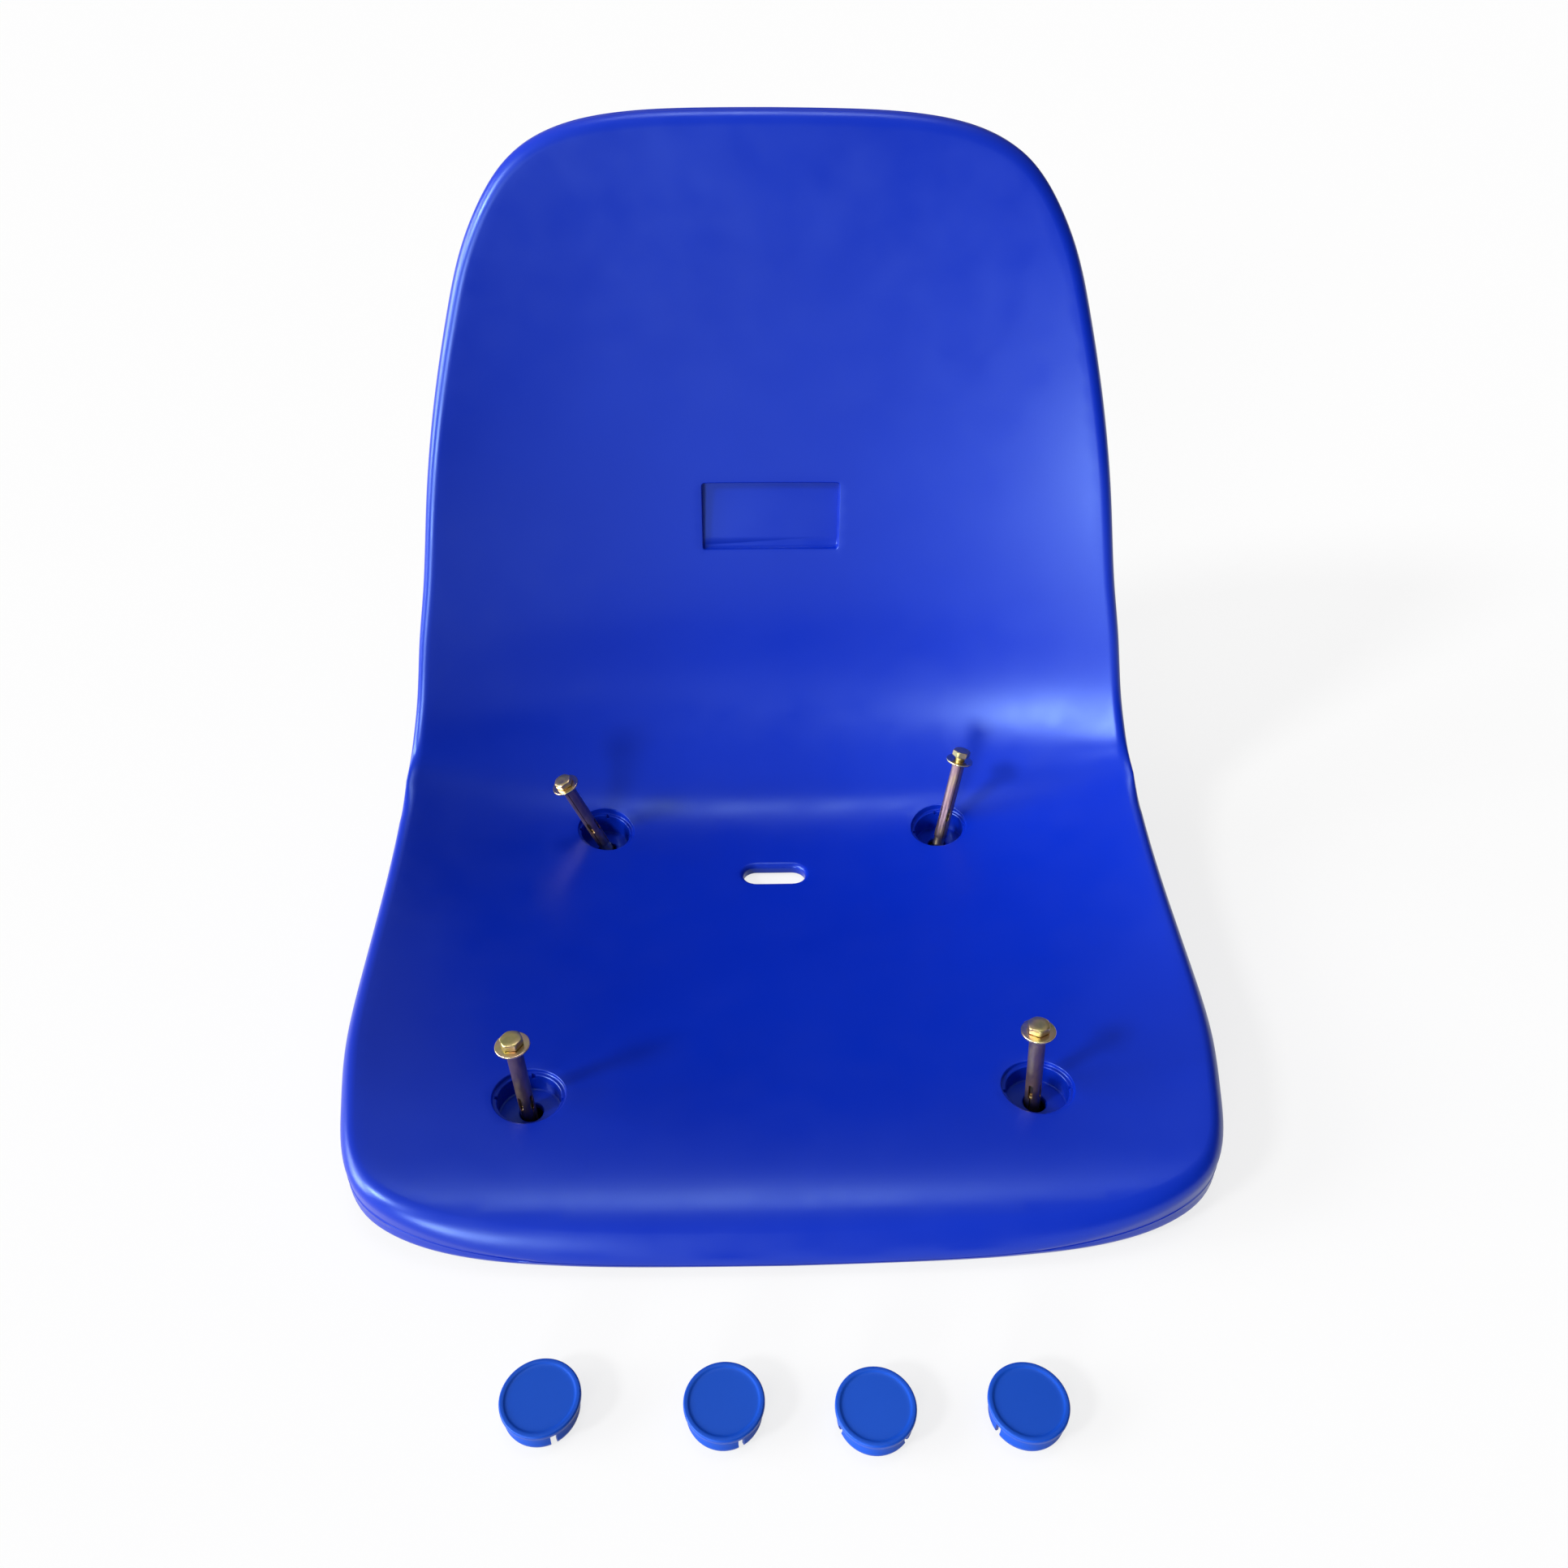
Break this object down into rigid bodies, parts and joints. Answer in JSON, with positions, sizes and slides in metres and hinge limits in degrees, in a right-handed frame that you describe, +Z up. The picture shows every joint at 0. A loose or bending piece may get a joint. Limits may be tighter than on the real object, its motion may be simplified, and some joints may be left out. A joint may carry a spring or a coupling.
{
  "type": "stadium seat",
  "caption": "Blue blow-moulded stadium bucket seat with a high back, its sleeve anchors standing in the fixing pockets and its cover caps laid out in front.",
  "frame": {"origin": "middle of the four fixing holes on the plane of the feet", "axes": "+X to the left hand of the person sitting (right in the picture), +Y from the front lip to the back, +Z up"},
  "size_m": [0.466, 0.5271, 0.4205],
  "materials": {
    "shell_plastic": "satin blue polyethylene with a fine moulded grain",
    "cap_plastic": "satin blue polyethylene, a little lighter",
    "bolt_zinc": "yellow passivated zinc plating",
    "washer_zinc": "bright yellow passivated zinc plating",
    "sleeve_zinc": "yellow passivated zinc plating with violet tints",
    "nut_zinc": "bright yellow passivated zinc plating"
  },
  "bodies": {
    "seat": {"seat_shell": "shell_plastic"},
    "front_left_anchor": {"front_left_sleeve": "sleeve_zinc", "front_left_washer": "washer_zinc"},
    "front_left_screw": {"front_left_bolt": "bolt_zinc"},
    "front_left_cone": {"front_left_cone_nut": "nut_zinc"},
    "front_right_anchor": {"front_right_sleeve": "sleeve_zinc", "front_right_washer": "washer_zinc"},
    "front_right_screw": {"front_right_bolt": "bolt_zinc"},
    "front_right_cone": {"front_right_cone_nut": "nut_zinc"},
    "rear_right_anchor": {"rear_right_sleeve": "sleeve_zinc"},
    "rear_right_screw": {"rear_right_bolt": "bolt_zinc"},
    "rear_right_cone": {"rear_right_cone_nut": "nut_zinc"},
    "rear_right_loose_washer": {"rear_right_washer": "washer_zinc"},
    "rear_left_anchor": {"rear_left_sleeve": "sleeve_zinc", "rear_left_washer": "washer_zinc"},
    "rear_left_screw": {"rear_left_bolt": "bolt_zinc"},
    "rear_left_cone": {"rear_left_cone_nut": "nut_zinc"},
    "cap_one": {"cover_cap_one": "cap_plastic"},
    "cap_two": {"cover_cap_two": "cap_plastic"},
    "cap_three": {"cover_cap_three": "cap_plastic"},
    "cap_four": {"cover_cap_four": "cap_plastic"}
  },
  "joints": [
    {"name": "front_left_lift_out", "type": "slide", "parent": "seat", "child": "front_left_anchor", "axis": [-0.0523, -0.0018, 0.9986], "range_m": [0, 0.07]},
    {"name": "front_left_bolt_turn", "type": "hinge", "parent": "front_left_anchor", "child": "front_left_screw", "pos_m": [-0.1266, -0.11552, 0.0002], "axis": [-0.0523, -0.0018, 0.9986], "range_deg": [0, 1080]},
    {"name": "front_left_cone_travel", "type": "slide", "parent": "front_left_anchor", "child": "front_left_cone", "axis": [0.0523, 0.0018, -0.9986], "range_m": [0, 0.0031]},
    {"name": "front_right_lift_out", "type": "slide", "parent": "seat", "child": "front_right_anchor", "axis": [-0.0518, 0.0467, 0.9976], "range_m": [0, 0.07]},
    {"name": "front_right_bolt_turn", "type": "hinge", "parent": "front_right_anchor", "child": "front_right_screw", "pos_m": [0.12578, -0.1153, 0.00027], "axis": [-0.0518, 0.0467, 0.9976], "range_deg": [0, 1080]},
    {"name": "front_right_cone_travel", "type": "slide", "parent": "front_right_anchor", "child": "front_right_cone", "axis": [0.0518, -0.0467, -0.9976], "range_m": [0, 0.0031]},
    {"name": "rear_right_lift_out", "type": "slide", "parent": "seat", "child": "rear_right_anchor", "axis": [0.1593, 0.1227, 0.9796], "range_m": [0, 0.07]},
    {"name": "rear_right_bolt_turn", "type": "hinge", "parent": "rear_right_anchor", "child": "rear_right_screw", "pos_m": [0.10983, 0.11614, 0.00078], "axis": [0.1593, 0.1227, 0.9796], "range_deg": [0, 1080]},
    {"name": "rear_right_cone_travel", "type": "slide", "parent": "rear_right_anchor", "child": "rear_right_cone", "axis": [-0.1593, -0.1227, -0.9796], "range_m": [0, 0.0031]},
    {"name": "rear_right_washer_slide", "type": "slide", "parent": "rear_right_anchor", "child": "rear_right_loose_washer", "axis": [0.1593, 0.1227, 0.9796], "range_m": [0, 0.0022]},
    {"name": "rear_left_lift_out", "type": "slide", "parent": "seat", "child": "rear_left_anchor", "axis": [-0.3315, -0.1638, 0.9291], "range_m": [0, 0.07]},
    {"name": "rear_left_bolt_turn", "type": "hinge", "parent": "rear_left_anchor", "child": "rear_left_screw", "pos_m": [-0.109, 0.1155, 0.00144], "axis": [-0.3315, -0.1638, 0.9291], "range_deg": [0, 1080]},
    {"name": "rear_left_cone_travel", "type": "slide", "parent": "rear_left_anchor", "child": "rear_left_cone", "axis": [0.3315, 0.1638, -0.9291], "range_m": [0, 0.0031]},
    {"name": "cap_one_lift", "type": "slide", "parent": "seat", "child": "cap_one", "axis": [0, 0, 1], "range_m": [0, 0.05]},
    {"name": "cap_two_lift", "type": "slide", "parent": "seat", "child": "cap_two", "axis": [0, 0, 1], "range_m": [0, 0.05]},
    {"name": "cap_three_lift", "type": "slide", "parent": "seat", "child": "cap_three", "axis": [0, 0, 1], "range_m": [0, 0.05]},
    {"name": "cap_four_lift", "type": "slide", "parent": "seat", "child": "cap_four", "axis": [0, 0, 1], "range_m": [0, 0.05]}
  ],
  "couplings": [
    {"joint": "front_left_cone_travel", "follows": "front_left_bolt_turn", "m_per_rad": 0.00015915},
    {"joint": "front_right_cone_travel", "follows": "front_right_bolt_turn", "m_per_rad": 0.00015915},
    {"joint": "rear_right_cone_travel", "follows": "rear_right_bolt_turn", "m_per_rad": 0.00015915},
    {"joint": "rear_left_cone_travel", "follows": "rear_left_bolt_turn", "m_per_rad": 0.00015915}
  ]
}
